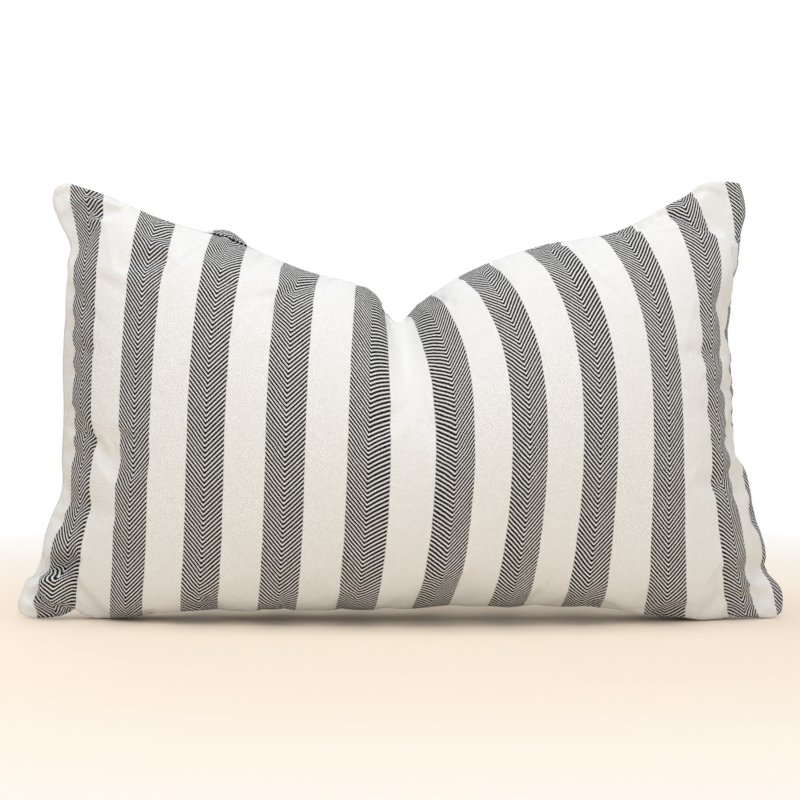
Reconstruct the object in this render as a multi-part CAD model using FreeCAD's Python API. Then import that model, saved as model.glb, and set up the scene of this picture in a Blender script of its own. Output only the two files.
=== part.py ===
import FreeCAD, Part
import os
import math

# A lumbar throw pillow that stands on its long edge. Millimetres.
# X runs along the width, the front looks along -Y, Z is up, and the floor is Z = 0.
# Each cushion layer is half a shell on one side of the seam plane Y = 0.

os.makedirs("parts", exist_ok=True)
V = FreeCAD.Vector

# Outline of the seam, seen from the front
HALF_WIDTH_BOTTOM = 249.0
HALF_WIDTH_WAIST = 217.0
HALF_WIDTH_TOP = 226.0
SEAM_HEIGHT = 20.0
CORNER_HEIGHT = 4.0
TOP_CORNER_HEIGHT = 285.0
NOTCH_HEIGHT = 192.0
NOTCH_STEP = 34.0
NOTCH_SPREAD = 22.0
NOTCH_ROUNDING = 3.0

# Body of the cushion
HALF_DEPTH = 80.0
FABRIC = 0.8
SEAM_FOLD = 2.0
BELLY_DIP = 11.5
LOBE_DIP = 8.5
CHOP_THINNING = 0.22
CHOP_SPREAD = 70.0

# Inner cushion
INSERT_GAP_EDGE = 6.0
INSERT_GAP_FACE = 2.4
TICKING = 0.6
TICKING_FOLD = 1.2
FILL_GAP = 0.9

# Zipper in the bottom seam
STRAIGHT_SHARE = 0.78
ZIP_END_GAP = 14.22
ZIP_HALF_LENGTH = HALF_WIDTH_BOTTOM * STRAIGHT_SHARE - ZIP_END_GAP
TAPE_THICKNESS = 0.5
TAPE_CLEARANCE = 1.0
TAPE_TOP = SEAM_HEIGHT + SEAM_FOLD + INSERT_GAP_EDGE - TAPE_CLEARANCE
CHAIN_DROP = 3.4
CHAIN_HEIGHT = SEAM_HEIGHT - CHAIN_DROP
CHAIN_HALF_WIDTH = 2.0
CHAIN_THICKNESS = 2.0
STOP_LENGTH = 2.4
SLIDER_LENGTH = 9.0
SLIDER_WALL = 0.8
RUNNING_GAP = 0.25
LUG_RADIUS = 1.3
PIN_RADIUS = 0.6
PIN_CLEARANCE = 0.06
PULL_LENGTH = 10.0
PULL_WIDTH = 5.0
PULL_THICKNESS = 1.0

# Thread and label
THREAD_RADIUS = 0.35
THREAD_INSET = 1.0
STITCH_RADIUS = 0.25
STITCH_RISE = 4.0
STITCH_HEIGHT = SEAM_HEIGHT + STITCH_RISE
LABEL_THICKNESS = 0.25

# Grid that the curved faces are drawn through
COLUMNS = 34
ROWS = 16


def half_width(b, inset):
    """Half the width at height fraction b, -1 at the bottom seam and 1 at the top seam."""
    low = ((1.0 - b) / 2.0) ** 4
    high = ((1.0 + b) / 2.0) ** 4
    width = HALF_WIDTH_WAIST + (HALF_WIDTH_BOTTOM - HALF_WIDTH_WAIST) * low
    return width + (HALF_WIDTH_TOP - HALF_WIDTH_WAIST) * high - inset


def bottom_seam(a):
    """The bottom seam is straight along the zipper and falls towards the corners."""
    fall = max(0.0, (abs(a) - STRAIGHT_SHARE) / (1.0 - STRAIGHT_SHARE))
    return SEAM_HEIGHT - (SEAM_HEIGHT - CORNER_HEIGHT) * fall ** 1.4


def top_seam(a):
    """The top seam climbs from the pressed notch to the two top corners."""
    x = abs(a) * HALF_WIDTH_TOP
    r = math.sqrt(x * x + NOTCH_ROUNDING ** 2) - NOTCH_ROUNDING
    climb = TOP_CORNER_HEIGHT - NOTCH_HEIGHT - NOTCH_STEP
    step = NOTCH_STEP * (1.0 - math.exp(-r / NOTCH_SPREAD))
    return NOTCH_HEIGHT + step + climb * (abs(a)) ** 1.5


def sag(a, e):
    """Height above the bottom seam in half heights; the belly dips beside the seam."""
    dip = BELLY_DIP + LOBE_DIP * a * a - (BELLY_DIP + LOBE_DIP) * abs(a) ** 18
    rise = e - (1.0 - abs(a) ** 10) * e * (1.0 - e / 2.0) ** 3
    return rise - dip * e * e * (1.0 - e / 2.0) ** 10


def half_depth(a, b, thinner):
    """Half the thickness, zero on the seams."""
    chop = CHOP_THINNING * math.exp(-(a * HALF_WIDTH_WAIST / CHOP_SPREAD) ** 2)
    depth = (HALF_DEPTH - thinner) * (1.0 - chop * ((1.0 + b) / 2.0) ** 2)
    return depth * (1.0 - abs(a) ** 4) * (1.0 - abs(b) ** 2.6)


def point(a, b, inset, thinner, side):
    """A point of one layer, inset from the seams and thinner than the outer layer."""
    low = bottom_seam(a) + inset
    half = (top_seam(a) - inset - low) / 2.0
    z = low + half * sag(a, 1.0 + b)
    return V(a * half_width(b, inset), side * half_depth(a, b, thinner), z)


def column_place(i):
    """Column positions, closer together at the notch and at the sides."""
    u = 2.0 * i / COLUMNS - 1.0
    return u - 0.62 * math.sin(2.0 * math.pi * u) / (2.0 * math.pi)


def row_place(j):
    """Row positions, closer together beside the two seams."""
    u = 2.0 * j / ROWS - 1.0
    return u + 0.35 * math.sin(math.pi * u) / math.pi


def dome(inset, thinner, side):
    """The curved face of one layer on one side of the seam plane."""
    grid = []
    for i in range(COLUMNS + 1):
        a = column_place(i)
        grid.append([point(a, row_place(j), inset, thinner, side) for j in range(ROWS + 1)])
    surface = Part.BSplineSurface()
    surface.interpolate(grid)
    return surface.toShape()


def half_solid(inset, thinner, side):
    """A solid between a dome and the seam plane."""
    face = dome(inset, thinner, side)
    flat = Part.Face(Part.Plane(V(0, 0, 0), V(0, 1, 0)), face.OuterWire)
    solid = Part.Solid(Part.Shell([face, flat]))
    if not solid.isValid():
        flat.reverse()
        solid = Part.Solid(Part.Shell([face, flat]))
    if solid.Volume < 0:
        solid.reverse()
    return solid


def block(x0, x1, y0, y1, z0, z1):
    return Part.makeBox(x1 - x0, y1 - y0, z1 - z0, V(x0, y0, z0))


def rod_x(x0, x1, y, z, radius):
    return Part.makeCylinder(radius, x1 - x0, V(x0, y, z), V(1, 0, 0))


def rod_y(y0, y1, x, z, radius):
    return Part.makeCylinder(radius, y1 - y0, V(x, y0, z), V(0, 1, 0))


def seam_line(edge, inset):
    """Points of one seam: the left side or the top."""
    if edge == "top":
        places = [(0.96 * column_place(k), 1.0) for k in range(COLUMNS + 1)]
    else:
        places = [(-1.0, -0.78 + 1.7 * k / 20.0) for k in range(21)]
    points = [point(a, b, inset, 0.0, 1.0) for a, b in places]
    return [V(p.x, 0.0, p.z) for p in points]


def thread(points, radius):
    """A thread of six-sided section, carried along a line in the seam plane."""
    rings = []
    for k, middle in enumerate(points):
        before = points[max(k - 1, 0)]
        after = points[min(k + 1, len(points) - 1)]
        heading = (after - before).normalize()
        across = V(-heading.z, 0.0, heading.x)
        corners = []
        for n in range(6):
            turn = 2.0 * math.pi * n / 6.0
            rim = across * (radius * math.cos(turn)) + V(0, radius * math.sin(turn), 0)
            corners.append(middle + rim)
        rings.append(Part.makePolygon(corners + [corners[0]]))
    return Part.makeLoft(rings, True, True)


def save(shape, name):
    """Write one node, and stop if it isn't one sound solid."""
    if shape.ShapeType == "Compound" and len(shape.Solids) == 1:
        shape = shape.Solids[0]
    if len(shape.Solids) != 1 or not shape.isValid() or shape.Volume <= 0:
        raise RuntimeError(name + " is not one sound solid")
    shape.exportStep("parts/" + name + ".step")
    box = shape.BoundBox
    low = [round(v, 2) for v in (box.XMin, box.YMin, box.ZMin)]
    high = [round(v, 2) for v in (box.XMax, box.YMax, box.ZMax)]
    print(name, round(shape.Volume, 1), "mm3", low, high)
    return shape


# The cover is two panels, sewn together at the seam plane all round except at the zipper
under_floor = block(-400, 400, -200, 200, -100, 0)
under_lining = block(-400, 400, -200, 200, -100, FABRIC)
zip_slot = block(
    -ZIP_HALF_LENGTH - 6.0, ZIP_HALF_LENGTH + 6.0, -TAPE_THICKNESS, TAPE_THICKNESS,
    SEAM_HEIGHT - 6.0, SEAM_HEIGHT + SEAM_FOLD + 5.0)
left_thread = thread(seam_line("left", THREAD_INSET), THREAD_RADIUS)
save(left_thread, "seam_thread_left")
right_line = [V(-p.x, p.y, p.z) for p in seam_line("left", THREAD_INSET)]
save(thread(right_line, THREAD_RADIUS), "seam_thread_right")
save(thread(seam_line("top", THREAD_INSET), THREAD_RADIUS), "seam_thread_top")

panels = []
for side, name in ((-1.0, "front"), (1.0, "back")):
    outside = half_solid(0.0, 0.0, side).cut(under_floor)
    inside = half_solid(SEAM_FOLD, FABRIC, side).cut(under_lining)
    panel = outside.cut(inside).cut(zip_slot)
    panels.append(save(panel, "cover_%s_panel" % name))

# The inner cushion is a sewn bag of ticking round its filling
bag_inset = SEAM_FOLD + INSERT_GAP_EDGE
bag_thinner = FABRIC + INSERT_GAP_FACE
cavity_inset = bag_inset + TICKING_FOLD
cavity_thinner = bag_thinner + TICKING
for side, name in ((-1.0, "front"), (1.0, "back")):
    outside = half_solid(bag_inset, bag_thinner, side)
    inside = half_solid(cavity_inset, cavity_thinner, side)
    save(outside.cut(inside), "insert_%s_panel" % name)
fill_inset = cavity_inset + FILL_GAP
fill_thinner = cavity_thinner + 0.4
halves = [half_solid(fill_inset, fill_thinner, side) for side in (-1.0, 1.0)]
save(halves[0].fuse(halves[1]).removeSplitter(), "filling")

# Zipper: two tapes, each with its row of coil, held by stops
tape_low = CHAIN_HEIGHT + CHAIN_THICKNESS / 2.0
chain_low = CHAIN_HEIGHT - CHAIN_THICKNESS / 2.0
for side, name in ((-1.0, "front"), (1.0, "back")):
    y = sorted((0.0, side * TAPE_THICKNESS))
    tape = block(-ZIP_HALF_LENGTH - 5.0, ZIP_HALF_LENGTH + 5.0, y[0], y[1], tape_low, TAPE_TOP)
    save(tape, "zipper_tape_" + name)
    y = sorted((side * 0.02, side * CHAIN_HALF_WIDTH))
    coil = block(-ZIP_HALF_LENGTH, ZIP_HALF_LENGTH, y[0], y[1], chain_low, tape_low)
    long_edges = [e for e in coil.Edges if e.Length > 100 and abs(e.CenterOfMass.y) > 1.0]
    save(coil.makeFillet(0.6, long_edges), "zipper_coil_" + name)
    y = side * (TAPE_THICKNESS + STITCH_RADIUS)
    stitch = rod_x(-ZIP_HALF_LENGTH - 4.0, ZIP_HALF_LENGTH + 4.0, y, STITCH_HEIGHT, STITCH_RADIUS)
    save(stitch, "zipper_stitch_" + name)

stop_half = CHAIN_HALF_WIDTH + 0.2
tapes_gap = block(-300, 300, -TAPE_THICKNESS, TAPE_THICKNESS, tape_low, 60)


def stop(x, y0, y1):
    clip = block(x, x + STOP_LENGTH, y0, y1, chain_low, tape_low + 1.0)
    return clip.cut(tapes_gap)


save(stop(-ZIP_HALF_LENGTH - 0.1 - STOP_LENGTH, -stop_half, stop_half), "zipper_bottom_stop")
save(stop(ZIP_HALF_LENGTH + 0.1, -stop_half, -0.05), "zipper_top_stop_front")
save(stop(ZIP_HALF_LENGTH + 0.1, 0.05, stop_half), "zipper_top_stop_back")

# Slider: a channel round the chain, open above for the tapes, with two lugs and a pin below
slider_x = ZIP_HALF_LENGTH - SLIDER_LENGTH / 2.0 - 0.5
x0 = slider_x - SLIDER_LENGTH / 2.0
x1 = slider_x + SLIDER_LENGTH / 2.0
bore_y = CHAIN_HALF_WIDTH + RUNNING_GAP
bore_z0 = chain_low - RUNNING_GAP
bore_z1 = tape_low + RUNNING_GAP
body = block(
    x0, x1, -bore_y - SLIDER_WALL, bore_y + SLIDER_WALL,
    bore_z0 - SLIDER_WALL, bore_z1 + SLIDER_WALL * 0.6)
upright = [e for e in body.Edges if abs(e.Vertexes[0].Z - e.Vertexes[-1].Z) > 1.0]
body = body.makeFillet(1.4, upright)
body = body.cut(block(x0 - 1, x1 + 1, -bore_y, bore_y, bore_z0, bore_z1))
throat = TAPE_THICKNESS + RUNNING_GAP
body = body.cut(block(x0 - 1, x1 + 1, -throat, throat, bore_z1 - 0.1, bore_z1 + 5))
pivot_z = bore_z0 - SLIDER_WALL - 0.35 - LUG_RADIUS
eye_half = 1.0
lug_out = eye_half + RUNNING_GAP + 0.9
for y0, y1 in ((-lug_out, -eye_half - RUNNING_GAP), (eye_half + RUNNING_GAP, lug_out)):
    lug = rod_y(y0, y1, slider_x, pivot_z, LUG_RADIUS)
    neck = block(
        slider_x - LUG_RADIUS, slider_x + LUG_RADIUS, y0, y1,
        pivot_z, bore_z0 - SLIDER_WALL / 2.0)
    body = body.fuse(lug).fuse(neck)
slider = body.fuse(rod_y(-lug_out, lug_out, slider_x, pivot_z, PIN_RADIUS)).removeSplitter()
save(slider, "zipper_slider")

# Pull: a flat tab with an eye on the slider's pin, hanging straight down at rest
eye = rod_y(-eye_half, eye_half, slider_x, pivot_z, PIN_RADIUS + PIN_CLEARANCE + 0.55)
half_t = PULL_THICKNESS / 2.0
stem_top = pivot_z - PIN_RADIUS - PIN_CLEARANCE - 0.2
stem = block(
    slider_x - half_t, slider_x + half_t, -eye_half, eye_half, pivot_z - 4.0, stem_top)
tab = block(
    slider_x - half_t, slider_x + half_t, -PULL_WIDTH / 2.0, PULL_WIDTH / 2.0,
    pivot_z - PULL_LENGTH, pivot_z - 3.0)
ends = [e for e in tab.Edges if abs(e.Vertexes[0].X - e.Vertexes[-1].X) > 0.5]
tab = tab.makeFillet(1.2, ends)
pull = eye.fuse(stem).fuse(tab).removeSplitter()
pull = pull.cut(rod_y(-5, 5, slider_x, pivot_z, PIN_RADIUS + PIN_CLEARANCE))
save(pull, "zipper_pull")
for face in Part.makeCompound(panels).Faces:
    if face.normalAt(0, 0).z < -0.999 and abs(face.CenterOfMass.z) < 1e-6 and face.Area > 20:
        print("rests on", [round(v, 1) for v in face.CenterOfMass], round(face.Area), "mm2")
print("pull pivot", round(slider_x, 3), round(pivot_z, 3), "travel", round(2 * slider_x, 2))

# Care label: a blank folded tape end, lying between the back panel and the inner cushion
label_grid = []
for i in range(7):
    a = 0.86 + 0.12 * i / 6.0
    rows = [point(a, -0.12 + 0.28 * j / 6.0, SEAM_FOLD + 0.4, FABRIC + 0.8, 1.0) for j in range(7)]
    label_grid.append(rows)
label_surface = Part.BSplineSurface()
label_surface.interpolate(label_grid)
label = label_surface.toShape().extrude(V(0, -LABEL_THICKNESS, 0))
save(label, "care_label")
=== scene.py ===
# %% [markdown]
# # A striped lumbar throw pillow
# A cotton cover of two panels is sewn round its edge, closed by a zipper in the bottom seam,
# and stuffed with an inner cushion. It stands on its long edge with its top pressed down in
# the middle. The hard little parts of the zipper come from CAD; the two cloth panels are made
# here, because cloth gets its shape from how it was cut, sewn and filled.

# %% Tools
import math

import bpy
import numpy as np
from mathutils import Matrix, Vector


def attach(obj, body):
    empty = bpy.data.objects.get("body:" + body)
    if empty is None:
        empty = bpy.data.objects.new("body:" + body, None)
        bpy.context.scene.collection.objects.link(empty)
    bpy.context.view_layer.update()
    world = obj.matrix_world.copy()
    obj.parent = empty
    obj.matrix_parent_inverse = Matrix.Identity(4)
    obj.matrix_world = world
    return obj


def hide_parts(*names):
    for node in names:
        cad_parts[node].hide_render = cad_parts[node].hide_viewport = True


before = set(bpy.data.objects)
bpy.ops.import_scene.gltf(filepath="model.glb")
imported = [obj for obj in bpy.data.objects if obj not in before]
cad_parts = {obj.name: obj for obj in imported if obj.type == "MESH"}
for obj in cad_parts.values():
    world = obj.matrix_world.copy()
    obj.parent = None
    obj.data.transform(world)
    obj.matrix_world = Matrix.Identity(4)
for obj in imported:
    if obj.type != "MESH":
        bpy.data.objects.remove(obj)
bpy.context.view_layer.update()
MM = 0.001

# %% [markdown]
# ## The cloth before sewing
# The cover is woven in repeats two inches wide: one dark herringbone stripe and one pale
# stripe. Ten and a half repeats make a panel. Places in the cloth are measured from the
# panel's lower left corner as it lies flat: u to the right, v up. Everything that follows the
# cloth, its folds and its pattern, is worked out from u and v.

# %% Flat sizes
PANEL_WIDTH = 533.4
PANEL_HEIGHT = 305.0
REPEAT = 50.8
FIRST_STRIPE = 15.0
STRIPE_WIDTH = 25.2
COLUMNS = 132
ROWS = 76

# %% [markdown]
# ## Where the cloth lies on the filled pillow
# Fifteen marks run across the panel: at both sides, just inside the left one, at the ten
# stripe centres, midway under the notch, and at the last stripe's edge. They say where the
# cloth passes the top edge, the waist and the bottom edge, and a smooth curve through them
# gives every place between. Marks are easier to change than a mesh: moving one number slides a
# stripe, and the cloth round it follows.

# %% Marks, as seen from the front, in millimetres
MARK_U = np.array([0, 8, 27.7, 78.5, 129.3, 180.1, 230.9, 256.3, 281.7, 332.5, 383.3, 434.1, 484.9,
                   523, 533.4])
TOP_X = np.array([-223, -217, -202, -157.7, -110.7, -64.5, -17.6, -3.2, 12.4, 47.5, 93, 141, 181,
                  205, 221.5])
TOP_Z = np.array([279, 283, 281, 263.5, 249.5, 231, 215, 196, 209, 231, 246.5, 255, 275, 285, 282.7])
WAIST_X = np.array([-215, -212, -205.5, -173.5, -127, -74.6, -20, 10, 37.5, 86.5, 133, 176, 204,
                    212, 214])
BOTTOM_X = np.array([-248, -240, -222, -180.5, -132, -81.5, -31, -7, 17, 66.5, 116, 173, 226, 244,
                     248.5])
BOTTOM_Z = np.array([3, 0, -0.6, -1.5, 0.5, 1.5, 2.5, 3.2, 3.8, 4.2, 3.0, -1.0, -0.6, 0.5, 4.0])
NOTCH_U = 258.0


def along(marks, values, at):
    """Smooth curve through marks: cubic pieces whose slopes are the mean of their two sides."""
    gaps = np.diff(marks)
    rise = np.diff(values) / gaps
    inner = (rise[:-1] * gaps[1:] + rise[1:] * gaps[:-1]) / (gaps[1:] + gaps[:-1])
    slope = np.concatenate([rise[:1], inner, rise[-1:]])
    k = np.clip(np.searchsorted(marks, at, side="right") - 1, 0, len(gaps) - 1)
    h = gaps[k]
    t = (at - marks[k]) / h
    return ((1 + 2 * t) * (1 - t) ** 2 * values[k] + t * (1 - t) ** 2 * h * slope[k]
            + t * t * (3 - 2 * t) * values[k + 1] + t * t * (t - 1) * h * slope[k + 1])


# %% [markdown]
# ## The shape of the filled pillow
# Cut through the pillow upright and the cloth runs nearly as half an ellipse from the bottom
# seam to the top seam. Towards the sides the ellipse flattens into the thin ears of the
# corners. The filling sags, so the belly is lower than the bottom seam, which is tucked up
# between the two sides with the zipper in it, and the top seam lies in a shallow groove.

# %% Body of the pillow
HALF_DEPTH = 78.0
EYE_DISTANCE = 1180.0
EYE_HEIGHT = 142.0
SEAM_HEIGHT = 19.4
BELLY_LIFT = 8.0


def bell(x, width):
    """One at zero, falling smoothly either side: e to the minus (x over width) squared."""
    return np.exp(-(x / width) ** 2)


def ease(x):
    """From 0 to 1 with level ends: 3 x squared minus 2 x cubed, held outside 0 to 1."""
    x = np.clip(x, 0.0, 1.0)
    return x * x * (3 - 2 * x)


def soft_floor(x, round_over):
    """About x above 0 and about 0 below it: round_over times ln(1 + e to the x / round_over)."""
    return round_over * np.logaddexp(0.0, x / round_over)


def side_outline(height, left):
    """X of a side seam at a height: in at the waist, out at the corners, with small waves."""
    if left:
        marks = np.array([0, 6.5, 17.6, 34.6, 55, 66, 80, 105, 131, 170, 198, 218, 231, 244, 258,
                          274, 285])
        x = np.array([-247, -248, -244, -235.5, -231, -227, -220.7, -220, -219, -219.6, -218, -215.5,
                      -214.2, -215, -221.5, -226, -222])
    else:
        marks = np.array([0, 7.2, 21, 30, 47, 64, 80, 97, 112, 120, 153, 187, 209, 229, 245, 265, 275, 286])
        x = np.array([248, 249, 247, 239, 236, 232, 228, 223, 214, 215, 216, 213.5, 214.5, 217, 220,
                      225, 223.5, 220])
    return along(marks, x, height)


def filled_panel(u, v, side):
    """Place of the cloth point (u, v) on the filled pillow, in millimetres.

    The angle psi goes from 0 at the bottom seam to pi at the top seam. Height follows
    (1 - cos psi) / 2 between the bottom and top outlines, depth follows sin psi, and the
    sideways place blends the bottom, waist and top marks.
    """
    a = (u - PANEL_WIDTH / 2) / (PANEL_WIDTH / 2)
    t = v / PANEL_HEIGHT
    psi = np.pi * t
    fraction = (1 - np.cos(psi)) / 2
    top_x, top_z = along(MARK_U, TOP_X, u), along(MARK_U, TOP_Z, u)
    waist_x = along(MARK_U, WAIST_X, u)
    bottom_x, bottom_z = along(MARK_U, BOTTOM_X, u), along(MARK_U, BOTTOM_Z, u)
    fullness = np.clip(1 - np.abs(a) ** 2.6, 0, 1) ** 0.8
    edge = 1 - fullness
    # upright cut: full ellipse in the middle, straight and thin at the sides
    fraction = fraction * (1 - edge ** 3) + t * edge ** 3
    depth = HALF_DEPTH * fullness * np.clip(np.sin(psi), 0, 1) ** (1.0 + 0.35 * edge)
    # pressed middle: a valley runs down from the notch
    valley = bell(u - NOTCH_U, 24.0) * ease((t - 0.62) / 0.34)
    depth = depth * (1 - 0.42 * valley)
    bend_top = 4.0 + 1.3 * (1 + a) + 1.5 * bell(u - 290, 40)
    x = waist_x + (top_x - waist_x) * fraction ** bend_top
    bend_low = 4.5 - 1.8 * ease((a - 0.1) / 0.8)
    x = x + (bottom_x - waist_x) * (1 - fraction) ** bend_low
    tucked = ease((228 - np.abs(x)) / 38.0)
    lift = BELLY_LIFT * tucked
    z = bottom_z - lift + (top_z - bottom_z + lift) * fraction
    # side outlines with their small waves reach a little way in from the seams
    near = np.clip(edge, 0, 1) ** 6
    side_x = side_outline(z, True) * near * (a < 0) + side_outline(z, False) * near * (a > 0)
    x = x * (1 - near) + side_x
    # seams sink: the bottom one round the zipper, the top one in its groove
    groove = 5 + 9 * ease((195 - np.abs(x)) / 60)
    z = z + (SEAM_HEIGHT - bottom_z + lift) * tucked * np.exp(-(depth / groove) ** 4) * (psi < 1.0)
    z = bottom_z + soft_floor(z - bottom_z, 1.5)
    # the right shoulder is fuller, so its last stripes run close to the side
    x = x + 10.0 * bell(u - 512, 24) * bell(z - 240, 30) * (1 - near)
    # the left side is drawn in above its ear
    x = x - 5.0 * bell(u - 15, 12) * bell(z - 42, 18) * (1 - near)
    z = z - 4.5 * fullness * bell(np.pi - psi, 0.22)
    # marks are places as seen from the front, so nearer cloth is drawn in by its distance
    shrink = 1 - depth / EYE_DISTANCE
    x = x * shrink
    z = EYE_HEIGHT + (z - EYE_HEIGHT) * shrink
    return np.stack([x, side * depth, z], axis=-1)


def spaced_evenly(surface):
    """Slides the rows of a surface along its columns until they are equally far apart."""
    fine_v = np.linspace(0, PANEL_HEIGHT, 6 * ROWS + 1)
    u = np.linspace(0, PANEL_WIDTH, COLUMNS + 1)
    fine = surface(*np.meshgrid(u, fine_v))
    step = np.linalg.norm(np.diff(fine, axis=0), axis=2)
    length = np.concatenate([np.zeros((1, COLUMNS + 1)), np.cumsum(step, axis=0)])
    want = np.linspace(0, 1, ROWS + 1)
    columns = []
    for k in range(COLUMNS + 1):
        share = length[:, k] / length[-1, k]
        columns.append(np.stack([np.interp(want, share, fine[:, k, n]) for n in range(3)], -1))
    return np.stack(columns, axis=1)


grid_u, grid_v = np.meshgrid(np.linspace(0, PANEL_WIDTH, COLUMNS + 1),
                             np.linspace(0, PANEL_HEIGHT, ROWS + 1))
front_start = spaced_evenly(lambda u, v: filled_panel(u, v, -1.0))
print("start shape", front_start.min(axis=(0, 1)).round(1), front_start.max(axis=(0, 1)).round(1))

# %% [markdown]
# ## Sewing, filling and letting the cloth settle
# Folds and puckers can't be drawn convincingly, but they come by themselves when flat cloth is
# held on a shape that is a little too small for it. So each panel is given to Blender's Cloth
# with its flat size as the length that every thread wants to have, its seam held still, and a
# light pressure from the filling. How far a point may move is capped, so the pillow keeps its
# shape, and the result is kept as a plain mesh.

# %% Mesh and cloth helpers
def grid_faces(columns, rows, turned):
    """Four-sided faces of a grid, counted row by row; turned swaps their outward side."""
    k = (np.arange(rows)[:, None] * (columns + 1) + np.arange(columns)[None, :]).ravel()
    quads = np.stack([k, k + 1, k + columns + 2, k + columns + 1], axis=1)
    return quads[:, ::-1] if turned else quads


def cloth_mesh(name, places, turned):
    """A panel's mesh with its weave map, which holds u and v in metres at every corner."""
    rows, columns = places.shape[0] - 1, places.shape[1] - 1
    faces = grid_faces(columns, rows, turned)
    mesh = bpy.data.meshes.new(name)
    mesh.from_pydata((places.reshape(-1, 3) * MM).tolist(), [], faces.tolist())
    weave = mesh.uv_layers.new(name="weave")
    flat = np.stack([grid_u, grid_v], axis=-1).reshape(-1, 2) * MM
    weave.data.foreach_set("uv", flat[faces.ravel()].astype(np.float32).ravel())
    mesh.polygons.foreach_set("use_smooth", np.ones(len(faces), dtype=bool))
    mesh.update()
    piece = bpy.data.objects.new(name, mesh)
    bpy.context.scene.collection.objects.link(piece)
    return piece


def read_places(mesh, shape):
    """Vertex places of a mesh as a grid, in millimetres."""
    flat = np.empty(len(mesh.vertices) * 3, dtype=np.float32)
    mesh.vertices.foreach_get("co", flat)
    return flat.reshape(shape).astype(float) / MM


SETTLE_FRAMES = 24
CAP = 12.0


def spread_out(field, passes):
    """Broad part of a grid of moves: each pass mixes every point with its four neighbours.

    Points past the seam count as still, because the seam is sewn.
    """
    for _ in range(passes):
        wide = np.pad(field, ((1, 1), (1, 1), (0, 0)))
        beside = wide[:-2, 1:-1] + wide[2:, 1:-1] + wide[1:-1, :-2] + wide[1:-1, 2:]
        field = field / 2 + beside / 8
    return field


def settle(name, places, turned, slack, pressure):
    """Runs Blender's Cloth on a panel and returns how far each of its points moves.

    A shrink below nothing makes the wanted length of each thread longer than its length on the
    shape, so the cloth has slack to lay in folds.
    """
    piece = cloth_mesh(name + "_settling", places, turned)
    held = np.zeros(grid_u.shape, dtype=bool)
    held[[0, -1], :] = True
    held[:, [0, -1]] = True
    group = piece.vertex_groups.new(name="seam")
    group.add(np.flatnonzero(held.ravel()).tolist(), 1.0, "REPLACE")
    cloth = piece.modifiers.new("cloth", "CLOTH")
    c = cloth.settings
    c.quality = 6
    c.mass = 0.3
    c.tension_stiffness = c.compression_stiffness = 15
    c.shear_stiffness = 5
    c.bending_stiffness = 0.5
    c.shrink_min = c.shrink_max = -slack
    c.vertex_group_mass = "seam"
    c.use_pressure = True
    c.uniform_pressure_force = pressure
    c.effector_weights.gravity = 0
    cloth.collision_settings.use_collision = False
    cloth.collision_settings.use_self_collision = False
    cloth.point_cache.frame_start = 1
    cloth.point_cache.frame_end = SETTLE_FRAMES
    scene = bpy.context.scene
    scene.frame_start = 1
    scene.frame_end = SETTLE_FRAMES
    for number in range(1, SETTLE_FRAMES + 1):
        scene.frame_set(number)
    seen = piece.evaluated_get(bpy.context.evaluated_depsgraph_get())
    moved = read_places(seen.to_mesh(), places.shape) - places
    seen.to_mesh_clear()
    scene.frame_set(1)
    mesh = piece.data
    bpy.data.objects.remove(piece)
    bpy.data.meshes.remove(mesh)
    far = np.linalg.norm(moved, axis=-1, keepdims=True)
    print(name, "moved by up to", far.max().round(1), "mm, mean", far.mean().round(1))
    return moved * (CAP * np.tanh(far / CAP) / np.maximum(far, 1e-6))


# %% [markdown]
# The broad swelling of the settled cloth is already in the marks, so only its folds and
# puckers are added to the shape: what is left when the broad part of the move is taken away.
# The back starts from the same marks as the front, mirrored in depth, because both are cut and
# sewn alike, but it has a little more slack and its own hump by the left lobe.

# %% Settle both panels
FOLD_SHARE = 0.9
BROAD_PASSES = 110
PRESSURE = 5.0
FRONT_SLACK = 0.045
BACK_SLACK = 0.055


def folded(name, start, turned, slack, pressure):
    """Start shape plus the folds of the settled cloth."""
    moved = settle(name, start, turned, slack, pressure)
    broad = spread_out(moved, BROAD_PASSES)
    folds = moved - broad
    print(name, "folds up to", np.abs(folds).max().round(1), "mm")
    return start + FOLD_SHARE * folds


def back_panel_start(u, v):
    """The back's start: the front mirrored in depth, with a hump behind the left lobe's slope."""
    place = filled_panel(u, v, 1.0)
    hump = bell(place[..., 0] + 113, 15.0) * bell(v - PANEL_HEIGHT + 26, 22.0)
    place[..., 2] = place[..., 2] + 9.0 * hump
    return place


back_start = spaced_evenly(back_panel_start)
front = folded("front", front_start, False, FRONT_SLACK, PRESSURE)
back = folded("back", back_start, True, BACK_SLACK, PRESSURE)

# %% [markdown]
# ## A finer grid for creases
# The simulation runs on four-millimetre squares. Creases at the corners are sharper than that,
# so every square is split in four first. New points are put on the smooth curve through their
# four neighbours: nine sixteenths of the two near ones less one sixteenth of the two far ones.

# %% Finer grid
def halved(grid):
    """The grid with a new row between every two of its rows, on cubic curves through them."""
    wide = np.concatenate([2 * grid[:1] - grid[1:2], grid, 2 * grid[-1:] - grid[-2:-1]])
    between = (9 * (wide[1:-2] + wide[2:-1]) - wide[:-3] - wide[3:]) / 16
    fine = np.empty((2 * len(grid) - 1,) + grid.shape[1:])
    fine[::2], fine[1::2] = grid, between
    return fine


def finer_grid(grid):
    """Halves the steps of a grid in both directions."""
    return np.swapaxes(halved(np.swapaxes(halved(grid), 0, 1)), 0, 1)


front, back = finer_grid(front), finer_grid(back)
grid_u, grid_v = finer_grid(grid_u), finer_grid(grid_v)
print("grid", grid_u.shape)

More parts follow.
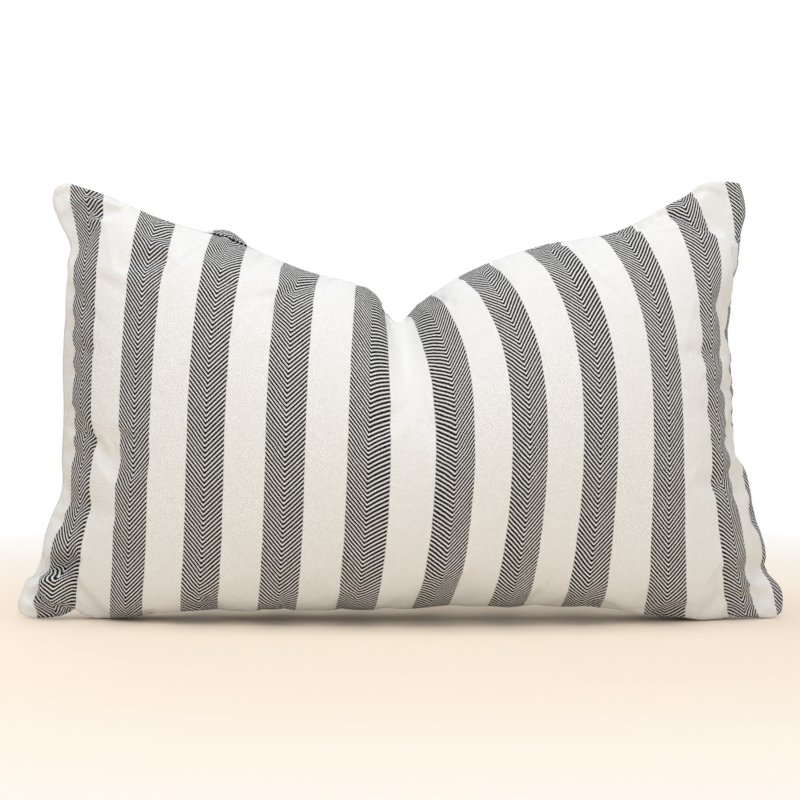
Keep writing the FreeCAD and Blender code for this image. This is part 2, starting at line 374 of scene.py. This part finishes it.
# %% [markdown]
# ## Creases pinched in at the corners
# The lower left corner is an ear: the body rolls over it and the cloth dives into a sharp
# crease that climbs towards the middle, then comes out again below, shifted a little to the
# left. A softer crease runs on down to the floor. The lower right corner has a smaller one.
# A crease is a drop in depth that fades slowly on its upper side and quickly on its lower side.

# %% Corner creases
def beside_line(places, start, end):
    """Distance above a line seen from the front, place along it from 0 to 1, its direction."""
    line = np.array(end, float) - np.array(start, float)
    length = np.hypot(*line)
    ahead = line / length
    from_start = np.stack([places[..., 0] - start[0], places[..., 2] - start[1]], axis=-1)
    return from_start @ np.array([-ahead[1], ahead[0]]), from_start @ ahead / length, ahead


def crease(places, start, end, deep, above, below, fade):
    """How deep each point drops for a crease from start to end, seen from the front.

    The drop is deep times e to the minus (distance / width) squared, with one width above the
    line and one below, and it fades out past both ends.
    """
    s, t, _ = beside_line(places, start, end)
    width = np.where(s > 0, above, below)
    ends = ease((t + fade) / fade) * ease((1 + fade - t) / fade)
    return deep * np.exp(-(s / width) ** 2) * ends


def gathered(places, start, end, share, reach):
    """Draws the cloth just above a crease down into it.

    A point at distance s above the line moves down by share times s times
    e to the minus (s / reach) squared, so the weave closes up there.
    """
    s, t, ahead = beside_line(places, start, end)
    s = np.maximum(s, 0)
    move = share * s * np.exp(-(s / reach) ** 2) * ease((t + 0.2) / 0.3) * ease((1.3 - t) / 0.4)
    out = places.copy()
    out[..., 0] += ahead[1] * move
    out[..., 2] -= ahead[0] * move
    return out


def creased(places, side, creases):
    """Pushes each point towards the middle plane by its creases, never quite to it."""
    drop = sum(crease(places, *one) for one in creases)
    depth = np.abs(places[..., 1])
    out = places.copy()
    out[..., 1] = side * (depth - depth * np.tanh(drop / np.maximum(depth, 1e-3)) * 0.9)
    return out


EAR_LEFT = 5.5
EAR_FORWARD = 6.0
MAIN_CREASE = ((-240, 26), (-211, 38))

height = front[..., 2]
ear = bell(front[..., 0] + 227, 17) * ease((31 - height) / 5) * ease((height - 1) / 12)
front[..., 0] -= EAR_LEFT * ear
front[..., 1] -= EAR_FORWARD * ear * ease(np.abs(front[..., 1]) / 5)
front = gathered(front, *MAIN_CREASE, 0.7, 9.0)
front = creased(front, -1.0, [
    (*MAIN_CREASE, 18.0, 6.0, 2.6, 0.3),
    ((-213, 30), (-190, 2), 5.0, 3.0, 8.0, 0.4),
    ((240, 26), (228, 34), 4.0, 3.0, 6.0, 0.5),
])
back = creased(back, 1.0, [
    ((236, 22), (205, 34), 7.0, 8.0, 3.0, 0.4),
    ((-238, 18), (-214, 40), 5.0, 5.0, 3.0, 0.4),
])

# %% [markdown]
# ## From settled surfaces to sewn panels
# Each panel is a sheet 0.8 mm thick. Its outer face is the settled surface; its inner face lies
# one thickness inside; a narrow rim joins them. At the seams both panels are pressed together
# at the middle plane, except along the zipper, where they leave a slit for its tapes.

# %% Closed sheets
FABRIC = 0.8
SLIT_HALF = 0.6
SLIT_REACH = 186.0
SLIT_RISE = 9.0


def normals_of(places, turned):
    """Outward normals: the cross product of the surface's two directions, made one long."""
    across = np.cross(np.gradient(places, axis=1), np.gradient(places, axis=0))
    across /= np.maximum(np.linalg.norm(across, axis=-1, keepdims=True), 1e-9)
    return -across if turned else across


def sewn(places, side):
    """Outer and inner faces of a panel, kept on their own side of the middle plane."""
    turned = side > 0
    outer = places.copy()
    edge_gap = np.where(np.abs(outer[..., 0]) < SLIT_REACH, SLIT_HALF, 0.0) * bell(grid_v, SLIT_RISE)
    outer[..., 1] += side * (FABRIC * np.exp(-np.abs(places[..., 1]) / 2.5) + edge_gap)
    outer[..., 1] = side * np.maximum(side * outer[..., 1], FABRIC)
    outer[..., 2] = np.maximum(outer[..., 2], 0.0)
    inner = outer - FABRIC * normals_of(outer, turned)
    inner[..., 1] = side * np.maximum(side * inner[..., 1], edge_gap)
    return outer, inner


def closed_sheet(name, outer, inner, turned, uv=None):
    """Two grids of the same size as one closed piece, joined round their four borders."""
    rows, columns = outer.shape[0] - 1, outer.shape[1] - 1
    count = (rows + 1) * (columns + 1)
    order = np.arange(count).reshape(rows + 1, columns + 1)
    border = np.concatenate([order[0, :-1], order[:-1, -1], order[-1, :0:-1], order[:0:-1, 0]])
    after = np.roll(border, -1)
    rim = np.stack([after, border, border + count, after + count], axis=1)
    if turned:
        rim = rim[:, ::-1]
    faces = np.concatenate([grid_faces(columns, rows, turned),
                            grid_faces(columns, rows, not turned) + count, rim])
    mesh = bpy.data.meshes.new(name)
    places = np.concatenate([outer.reshape(-1, 3), inner.reshape(-1, 3)]) * MM
    mesh.from_pydata(places.tolist(), [], faces.tolist())
    if uv is None:
        uv = np.stack([grid_u, grid_v], axis=-1)
    flat = np.concatenate([uv.reshape(-1, 2)] * 2) * MM
    weave = mesh.uv_layers.new(name="weave")
    weave.data.foreach_set("uv", flat[faces.ravel()].astype(np.float32).ravel())
    mesh.polygons.foreach_set("use_smooth", np.ones(len(faces), dtype=bool))
    mesh.update()
    piece = bpy.data.objects.new(name, mesh)
    bpy.context.scene.collection.objects.link(piece)
    print(name, len(faces), "faces, from", (places.min(axis=0) / MM).round(1), "to",
          (places.max(axis=0) / MM).round(1))
    return piece


front_outer, front_inner = sewn(front, -1.0)
back_outer, back_inner = sewn(back, 1.0)
cover_front = closed_sheet("cover_front_cloth", front_outer, front_inner, False)
cover_back = closed_sheet("cover_back_cloth", back_outer, back_inner, True)

# %% [markdown]
# ## Insert and filling
# Inside is a plain cushion of thin ticking with fibre filling. It presses against the cover all
# over, and its bottom seam sits above the zipper's tapes. It could have its own marks, but it
# is drawn in from the settled cover along the cover's normals, so it follows every fold and
# stays clear of the cloth round it. The filling is drawn in from the insert in the same way.

# %% Insert panels and filling
TICKING = 0.6
INSERT_GAP = 4.0
INSERT_EDGE = 9.0
INSERT_ROOF = 30.0
FILL_GAP = 1.2
FILL_EDGE = 6.0
FILL_ROOF = 33.5
FILL_HALF_SEAM = 0.05
CORNER_PULL = 0.16
ZIPPER_REACH = 20.0


def between(grid, u, v):
    """A grid's values at cloth places u and v, mixed from the four grid points round each."""
    row = np.clip(v / PANEL_HEIGHT * (grid.shape[0] - 1), 0, grid.shape[0] - 1.001)
    column = np.clip(u / PANEL_WIDTH * (grid.shape[1] - 1), 0, grid.shape[1] - 1.001)
    i, j = row.astype(int), column.astype(int)
    up, across = (row - i)[..., None], (column - j)[..., None]
    low = grid[i, j] * (1 - across) + grid[i, j + 1] * across
    high = grid[i + 1, j] * (1 - across) + grid[i + 1, j + 1] * across
    return low * (1 - up) + high * up


def inside(around, side, gap, edge_gap, roof):
    """A surface moved in along its normals by a gap, to lie inside the one around it.

    The edges stop short of the seams, more so at the corners, whose ears stay empty. Over the
    zipper the gap is wider and the bottom border is lifted to the roof height. The border ends
    on the middle plane.
    """
    a, b = grid_u / PANEL_WIDTH * 2 - 1, grid_v / PANEL_HEIGHT * 2 - 1
    keep = 1 - CORNER_PULL * (a * b) ** 2 * (edge_gap / INSERT_EDGE)
    u = PANEL_WIDTH / 2 + a * (PANEL_WIDTH / 2 - edge_gap) * keep
    v = PANEL_HEIGHT / 2 + b * (PANEL_HEIGHT / 2 - edge_gap) * keep
    away = gap * (1 + 3 * bell(grid_v, ZIPPER_REACH))[..., None]
    place = between(around, u, v) - away * between(normals_of(around, side > 0), u, v)
    closing = np.maximum(np.maximum(np.abs(a), b) ** 14, np.minimum(b, 0) ** 50)
    place[..., 1] = side * np.maximum(side * place[..., 1], 0.02) * (1 - closing)
    place[..., 2] += np.maximum(roof - place[:1, :, 2], 0) * bell(grid_v, ZIPPER_REACH)
    return place


def insert_panel(name, around, side):
    """One ticking panel as a closed sheet; its inner face ends on the middle plane."""
    turned = side > 0
    outer = inside(around, side, INSERT_GAP, INSERT_EDGE, INSERT_ROOF)
    outer[..., 1] += side * TICKING * np.exp(-np.abs(outer[..., 1]) / 2.0)
    inner = outer - TICKING * normals_of(outer, turned)
    inner[..., 1] = side * np.maximum(side * inner[..., 1], 0.0)
    return closed_sheet(name, outer, inner, turned), inner


insert_front, ticking_front = insert_panel("insert_front_cloth", front_inner, -1.0)
insert_back, ticking_back = insert_panel("insert_back_cloth", back_inner, 1.0)
fill_front = inside(ticking_front, -1.0, FILL_GAP, FILL_EDGE, FILL_ROOF)
fill_back = inside(ticking_back, 1.0, FILL_GAP, FILL_EDGE, FILL_ROOF)
fill_front[..., 1] -= FILL_HALF_SEAM
fill_back[..., 1] += FILL_HALF_SEAM
filling = closed_sheet("fibre_filling", fill_front, fill_back, False)

# %% [markdown]
# ## Seam thread and care label
# The seams are sewn inside out and turned, so their thread only glints in the groove between
# the panels. It is a thin cord carried along the seam. The care label is a small folded strip
# caught in the right seam, inside the back panel.

# %% Thread and label
THREAD_RADIUS = 0.35
THREAD_INSET = 1.0


def cord_along(name, path, radius, sides=8):
    """A closed tube: circles stood across a path, their directions from its slope and depth."""
    slope = np.gradient(path, axis=0)
    slope /= np.linalg.norm(slope, axis=1, keepdims=True)
    depth = np.array([0.0, 1.0, 0.0])
    other = np.cross(slope, depth)
    other /= np.linalg.norm(other, axis=1, keepdims=True)
    turn = np.linspace(0, 2 * np.pi, sides, endpoint=False)
    ring = (np.cos(turn)[None, :, None] * other[:, None, :]
            + np.sin(turn)[None, :, None] * depth[None, None, :]) * radius + path[:, None, :]
    places = np.concatenate([ring.reshape(-1, 3), path[:1], path[-1:]]) * MM
    k = (np.arange(len(path) - 1)[:, None] * sides + np.arange(sides)[None, :]).ravel()
    beside = k - k % sides + (k + 1) % sides
    walls = np.stack([k, beside, beside + sides, k + sides], axis=1).tolist()
    last = (len(path) - 1) * sides
    n = np.arange(sides)
    caps = np.stack([(n + 1) % sides, n, np.full(sides, len(path) * sides)], axis=1).tolist()
    far_middle = np.full(sides, len(path) * sides + 1)
    caps += np.stack([last + n, last + (n + 1) % sides, far_middle], axis=1).tolist()
    mesh = bpy.data.meshes.new(name)
    mesh.from_pydata(places.tolist(), [], walls + caps)
    mesh.polygons.foreach_set("use_smooth", np.ones(len(walls) + len(caps), dtype=bool))
    mesh.update()
    piece = bpy.data.objects.new(name, mesh)
    bpy.context.scene.collection.objects.link(piece)
    return piece


def inset_path(edge, next_in):
    """The seam's line moved in from the edge of the panels, on the middle plane."""
    inward = next_in - edge
    inward[:, 1] = 0
    inward /= np.maximum(np.linalg.norm(inward, axis=1, keepdims=True), 1e-9)
    path = edge + THREAD_INSET * inward
    path[:, 1] = 0
    return path


side_rows, top_columns = slice(18, -4), slice(6, -6)
thread_lines = {
    "thread_left": (front_outer[side_rows, 0], front_outer[side_rows, 4]),
    "thread_top": (front_outer[-1, top_columns], front_outer[-5, top_columns]),
    "thread_right": (front_outer[side_rows, -1], front_outer[side_rows, -5]),
}
threads = [cord_along(name, inset_path(edge, next_in), THREAD_RADIUS)
           for name, (edge, next_in) in thread_lines.items()]
label_rows, label_columns = slice(56, 86), slice(-20, -4)
label_outer = (back_inner - 0.35 * normals_of(back_inner, True))[label_rows, label_columns]
label_inner = (back_inner - 0.60 * normals_of(back_inner, True))[label_rows, label_columns]
label_uv = np.stack([grid_u, grid_v], axis=-1)[label_rows, label_columns]
label = closed_sheet("care_label_cloth", label_outer, label_inner, True, label_uv)
print("label", np.ptp(label_outer.reshape(-1, 3), axis=0).round(1), "mm")

# %% [markdown]
# ## Materials
# Every pattern is worked out from the weave map, whose u and v are metres of cloth, so it bends
# and narrows with the cloth. A group of nodes makes each effect once, and each material sets
# its own numbers on it.

# %% Node helpers
def node_maker(tree):
    """Short ways to add and wire nodes in one tree."""
    def add(kind, **settings):
        node = tree.nodes.new(kind)
        for name, value in settings.items():
            setattr(node, name, value)
        return node

    def feed(socket, value):
        if isinstance(value, bpy.types.NodeSocket):
            tree.links.new(value, socket)
        else:
            socket.default_value = value

    def maths(operation, *values, clamp=False):
        node = add("ShaderNodeMath", operation=operation, use_clamp=clamp)
        for socket, value in zip(node.inputs, values):
            feed(socket, value)
        return node.outputs[0]

    def mixed(share, first, second):
        node = add("ShaderNodeMix", data_type="RGBA")
        feed(node.inputs["Factor"], share)
        feed(node.inputs[6], first)
        feed(node.inputs[7], second)
        return node.outputs[2]

    def noise(vector, scale, detail=2.0):
        node = add("ShaderNodeTexNoise")
        feed(node.inputs["Vector"], vector)
        node.inputs["Scale"].default_value = scale
        node.inputs["Detail"].default_value = detail
        return node.outputs["Fac"]

    return add, feed, maths, mixed, noise


def new_group(name, inputs, outputs):
    """An empty effect group with named sockets; inputs are (name, kind, value)."""
    tree = bpy.data.node_groups.new(name, "ShaderNodeTree")
    for socket_name, kind, value in inputs:
        socket = tree.interface.new_socket(name=socket_name, in_out="INPUT", socket_type=kind)
        socket.default_value = value
    for socket_name, kind in outputs:
        tree.interface.new_socket(name=socket_name, in_out="OUTPUT", socket_type=kind)
    return tree, tree.nodes.new("NodeGroupInput"), tree.nodes.new("NodeGroupOutput")


FLOAT, COLOUR = "NodeSocketFloat", "NodeSocketColor"

# %% [markdown]
# ### The striped herringbone
# A dark stripe is woven with dark weft over pale warp in steps that climb from the stripe's
# middle to both of its edges, so fine lines meet in a row of Vs that point down. The pale
# stripe is the same weave in one colour, where only a faint slant shows. The place across a
# repeat is a remainder; the lines are a remainder of height less slope times distance from the
# stripe's middle; the distance is cut into thread steps, which also saw the stripe's edges.

# %% Herringbone group
LINE_PITCH = 2.98
LINE_SLOPE = 1.06
PALE_PITCH = 1.55
THREAD_STEP = 0.62
DARK_FROM = 0.19


def herringbone_group():
    tree, entry, leave = new_group("striped herringbone", [
        ("Dark", COLOUR, (0.01, 0.01, 0.014, 1)), ("Pale", COLOUR, (0.8, 0.8, 0.78, 1))],
        [("Colour", COLOUR), ("Height", FLOAT)])
    add, feed, maths, mixed, noise = node_maker(tree)
    place = add("ShaderNodeUVMap", uv_map="weave")
    apart = add("ShaderNodeSeparateXYZ")
    feed(apart.inputs[0], place.outputs[0])
    wander = maths("MULTIPLY", maths("SUBTRACT", noise(place.outputs[0], 90.0), 0.5), 0.9)
    jitter = maths("MULTIPLY", maths("SUBTRACT", noise(place.outputs[0], 700.0), 0.5), 0.5)
    u = maths("ADD", maths("MULTIPLY", apart.outputs[0], 1000.0), wander)
    v = maths("ADD", maths("MULTIPLY", apart.outputs[1], 1000.0), wander)
    repeat = maths("FLOORED_MODULO", maths("SUBTRACT", u, FIRST_STRIPE), REPEAT)
    from_middle = maths("ABSOLUTE", maths("SUBTRACT", repeat, STRIPE_WIDTH / 2))
    stepped = maths("SNAP", from_middle, THREAD_STEP)
    climb = maths("MULTIPLY", stepped, LINE_SLOPE)
    phase = maths("DIVIDE", maths("SUBTRACT", maths("ADD", v, jitter), climb), LINE_PITCH)
    wave = maths("PINGPONG", phase, 0.5)
    dark_line = maths("MULTIPLY_ADD", maths("SUBTRACT", wave, DARK_FROM), 14.0, 0.5, clamp=True)
    saw = maths("MULTIPLY", wave, 1.6)
    edge = maths("SUBTRACT", STRIPE_WIDTH / 2 + 0.4, maths("ADD", from_middle, saw))
    in_stripe = maths("MULTIPLY_ADD", edge, 3.0, 0.5, clamp=True)
    dark_share = maths("MULTIPLY", dark_line, in_stripe)
    # fine slant of the pale weave, and single threads
    slant = maths("PINGPONG", maths("DIVIDE", maths("SUBTRACT", v, climb), PALE_PITCH), 0.5)
    thread_u = maths("PINGPONG", maths("DIVIDE", u, THREAD_STEP), 0.5)
    thread_v = maths("PINGPONG", maths("DIVIDE", v, 0.5), 0.5)
    threads_high = maths("ADD", thread_u, thread_v)
    slubs = noise(place.outputs[0], 260.0, 3.0)
    uneven = maths("ADD", maths("MULTIPLY", slant, 0.11), maths("MULTIPLY", slubs, 0.09))
    bright = maths("ADD", 0.90, uneven)
    tinted = mixed(bright, (0, 0, 0, 1), entry.outputs["Pale"])
    lift = maths("MULTIPLY", threads_high, 0.02)
    lifted = mixed(lift, entry.outputs["Dark"], entry.outputs["Pale"])
    colour = mixed(dark_share, tinted, lifted)
    feed(leave.inputs["Colour"], colour)
    height = maths("ADD", maths("MULTIPLY", threads_high, 0.35), maths("MULTIPLY", slant, 0.9))
    raised = maths("MULTIPLY", dark_line, maths("MULTIPLY", in_stripe, 0.5))
    feed(leave.inputs["Height"], maths("ADD", height, raised))
    return tree


def plain_weave_group():
    """Crossed threads of a plain weave on Object coordinates, with slubs."""
    tree, entry, leave = new_group("plain weave", [
        ("Colour", COLOUR, (0.8, 0.8, 0.8, 1)), ("Thread", FLOAT, 0.6)],
        [("Colour", COLOUR), ("Height", FLOAT)])
    add, feed, maths, mixed, noise = node_maker(tree)
    place = add("ShaderNodeTexCoord")
    apart = add("ShaderNodeSeparateXYZ")
    feed(apart.inputs[0], place.outputs["Object"])
    count = maths("DIVIDE", 1000.0, entry.outputs["Thread"])
    across = maths("PINGPONG", maths("MULTIPLY", apart.outputs[0], count), 0.5)
    up = maths("PINGPONG", maths("MULTIPLY", apart.outputs[2], count), 0.5)
    high = maths("ADD", across, up)
    slubs = noise(place.outputs["Object"], 300.0, 3.0)
    uneven = maths("ADD", maths("MULTIPLY", high, 0.12), maths("MULTIPLY", slubs, 0.16))
    share = maths("ADD", 0.80, uneven)
    feed(leave.inputs["Colour"], mixed(share, (0, 0, 0, 1), entry.outputs["Colour"]))
    feed(leave.inputs["Height"], maths("ADD", high, slubs))
    return tree


def mottle_group():
    """Soft uneven spots on Object coordinates for metal, plastic, thread and fibre."""
    tree, entry, leave = new_group("mottle", [
        ("Colour", COLOUR, (0.5, 0.5, 0.5, 1)), ("Other colour", COLOUR, (0.4, 0.4, 0.4, 1)),
        ("Scale", FLOAT, 400.0), ("Rough from", FLOAT, 0.4), ("Rough to", FLOAT, 0.6)],
        [("Colour", COLOUR), ("Height", FLOAT), ("Roughness", FLOAT)])
    add, feed, maths, mixed, _ = node_maker(tree)
    place = add("ShaderNodeTexCoord")
    spots = add("ShaderNodeTexNoise")
    feed(spots.inputs["Vector"], place.outputs["Object"])
    feed(spots.inputs["Scale"], entry.outputs["Scale"])
    value = spots.outputs["Fac"]
    feed(leave.inputs["Colour"], mixed(value, entry.outputs["Colour"], entry.outputs["Other colour"]))
    feed(leave.inputs["Height"], value)
    span = maths("SUBTRACT", entry.outputs["Rough to"], entry.outputs["Rough from"])
    feed(leave.inputs["Roughness"], maths("MULTIPLY_ADD", value, span, entry.outputs["Rough from"]))
    return tree


herringbone, plain_weave, mottle = herringbone_group(), plain_weave_group(), mottle_group()
print("groups", [g.name for g in bpy.data.node_groups])

# %% Materials
def material(name, group, values, bump, roughness=0.9, metallic=0.0, specular=0.3):
    """A Principled surface fed by an effect group: colour, bump and, if it has one, roughness."""
    made = bpy.data.materials.new(name)
    made.use_nodes = True
    tree = made.node_tree
    surface = tree.nodes["Principled BSDF"]
    effect = tree.nodes.new("ShaderNodeGroup")
    effect.node_tree = group
    for key, value in values.items():
        effect.inputs[key].default_value = value
    rise = tree.nodes.new("ShaderNodeBump")
    rise.inputs["Distance"].default_value = bump
    tree.links.new(effect.outputs["Height"], rise.inputs["Height"])
    tree.links.new(rise.outputs["Normal"], surface.inputs["Normal"])
    tree.links.new(effect.outputs["Colour"], surface.inputs["Base Color"])
    surface.inputs["Roughness"].default_value = roughness
    surface.inputs["Metallic"].default_value = metallic
    if "Roughness" in effect.outputs:
        tree.links.new(effect.outputs["Roughness"], surface.inputs["Roughness"])
    surface.inputs["Specular IOR Level"].default_value = specular
    return made


cover_cotton = material("striped cotton", herringbone,
                        {"Dark": (0.004, 0.004, 0.007, 1), "Pale": (0.84, 0.84, 0.83, 1)},
                        0.0002, roughness=0.92, specular=0.08)


def mottled(name, colour, other, scale, rough, bump, metallic=0.0):
    """A material of two close colours in soft spots, with roughness between two values."""
    values = {"Colour": (*colour, 1), "Other colour": (*other, 1), "Scale": scale,
              "Rough from": rough[0], "Rough to": rough[1]}
    return material(name, mottle, values, bump, metallic=metallic)


def woven(name, colour, thread, bump, roughness=0.9):
    """A plain weave of one colour; thread is the width of a thread in millimetres."""
    return material(name, plain_weave, {"Colour": (*colour, 1), "Thread": thread}, bump, roughness)


white_thread = mottled("white thread", (0.75, 0.75, 0.73), (0.62, 0.62, 0.6), 900.0, (0.6, 0.8), 0.00008)
nylon = mottled("zipper nylon", (0.78, 0.78, 0.75), (0.70, 0.70, 0.68), 300.0, (0.35, 0.5), 0.00002)
nickel = mottled("nickel", (0.62, 0.61, 0.59), (0.52, 0.51, 0.49), 500.0, (0.22, 0.38), 0.00001, 1.0)
fibre = mottled("fibre filling", (0.85, 0.85, 0.85), (0.75, 0.75, 0.75), 160.0, (0.9, 1.0), 0.002)
tape_cotton = woven("zipper tape", (0.74, 0.73, 0.70), 0.5, 0.0001)
ticking_cotton = woven("ticking", (0.8, 0.8, 0.79), 0.6, 0.0001)
label_satin = woven("label satin", (0.82, 0.82, 0.82), 0.3, 0.00005, roughness=0.5)

# %% Give the pieces their materials and put the new ones on the pillow
def dressed(piece, made):
    """Gives a piece its material."""
    piece.data.materials.clear()
    piece.data.materials.append(made)


def stands_for(piece, made, slot, *nodes):
    """A new piece that rides on the pillow and takes the place of CAD nodes."""
    dressed(piece, made)
    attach(piece, "pillow")
    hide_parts(*nodes)


stands_for(cover_front, cover_cotton, "cover_fabric", "cover_front_panel")
stands_for(cover_back, cover_cotton, "cover_fabric", "cover_back_panel")
stands_for(insert_front, ticking_cotton, "ticking", "insert_front_panel")
stands_for(insert_back, ticking_cotton, "ticking", "insert_back_panel")
stands_for(filling, fibre, "filling", "filling")
stands_for(label, label_satin, "label_fabric", "care_label")
for thread, node in zip(threads, ("seam_thread_left", "seam_thread_top", "seam_thread_right")):
    stands_for(thread, white_thread, "sewing_thread", node)
carried_over = (
    (tape_cotton, "zipper_tape", ("zipper_tape_front", "zipper_tape_back")),
    (nylon, "zipper_coil", ("zipper_coil_front", "zipper_coil_back")),
    (white_thread, "sewing_thread", ("zipper_stitch_front", "zipper_stitch_back")),
    (nickel, "zipper_metal", ("zipper_bottom_stop", "zipper_top_stop_front", "zipper_top_stop_back",
                              "zipper_slider", "zipper_pull")),
)
for made, slot, nodes in carried_over:
    for node in nodes:
        dressed(bpy.data.objects[node], made)

# %% [markdown]
# ## Floor, light and camera
# A warm pale floor that fades to white away from the pillow, a broad soft light above, weaker
# ones in front and behind, and a bright pale world. The camera looks straight at the pillow's
# face from a little over a metre.

# %% Stage
ROOM_LIGHT = 0.5
bpy.ops.mesh.primitive_plane_add(size=8.0, location=(0, 0, -0.0004))
floor = bpy.context.object
floor.name = "floor"
pale = bpy.data.materials.new("pale floor")
pale.use_nodes = True
add, feed, maths, _, _ = node_maker(pale.node_tree)
near = pale.node_tree.nodes["Principled BSDF"]
near.inputs["Base Color"].default_value = (0.93, 0.81, 0.67, 1)
near.inputs["Roughness"].default_value = 0.95
far = add("ShaderNodeEmission")
far.inputs["Strength"].default_value = 1.0
place = add("ShaderNodeTexCoord")
away = add("ShaderNodeVectorMath", operation="LENGTH")
feed(away.inputs[0], place.outputs["Object"])
fade = maths("MULTIPLY_ADD", away.outputs["Value"], 1.7, -0.5, clamp=True)
seen_far = maths("MULTIPLY", fade, add("ShaderNodeLightPath").outputs["Is Camera Ray"])
blend = add("ShaderNodeMixShader")
feed(blend.inputs[0], seen_far)
pale.node_tree.links.new(near.outputs[0], blend.inputs[1])
pale.node_tree.links.new(far.outputs[0], blend.inputs[2])
pale.node_tree.links.new(blend.outputs[0], pale.node_tree.nodes["Material Output"].inputs["Surface"])
floor.data.materials.append(pale)

world = bpy.data.worlds.new("soft room")
world.use_nodes = True
world.node_tree.nodes["Background"].inputs["Color"].default_value = (1, 1, 1, 1)
ray = world.node_tree.nodes.new("ShaderNodeLightPath")
strength = world.node_tree.nodes.new("ShaderNodeMath")
strength.operation = "MULTIPLY_ADD"
strength.inputs[1].default_value = 1.0 - ROOM_LIGHT
strength.inputs[2].default_value = ROOM_LIGHT
world.node_tree.links.new(ray.outputs["Is Camera Ray"], strength.inputs[0])
world.node_tree.links.new(strength.outputs[0], world.node_tree.nodes["Background"].inputs["Strength"])
bpy.context.scene.world = world
bpy.context.scene.view_settings.view_transform = "Standard"


def soft_light(name, place, target, size, power):
    """A square area light aimed at a point."""
    data = bpy.data.lights.new(name, "AREA")
    data.size = size
    data.energy = power
    data.color = (0.97, 0.985, 1.0)
    lamp = bpy.data.objects.new(name, data)
    lamp.location = place
    lamp.rotation_euler = (Vector(target) - Vector(place)).to_track_quat("-Z", "Y").to_euler()
    bpy.context.scene.collection.objects.link(lamp)


soft_light("above", (-0.1, -0.5, 2.0), (0, 0, 0.12), 1.6, 23.0)
soft_light("front", (0.3, -2.4, 0.9), (0, 0, 0.12), 1.4, 14.0)
soft_light("behind", (-0.6, 2.2, 1.0), (0, 0, 0.12), 1.4, 10.0)

camera_data = bpy.data.cameras.new("camera")
camera_data.sensor_width = 36.0
camera_data.lens = 36.0 * EYE_DISTANCE / 521.2
camera = bpy.data.objects.new("camera", camera_data)
camera.location = (0, -EYE_DISTANCE * MM, EYE_HEIGHT * MM)
camera.rotation_euler = (math.pi / 2, 0, 0)
bpy.context.scene.collection.objects.link(camera)
bpy.context.scene.camera = camera
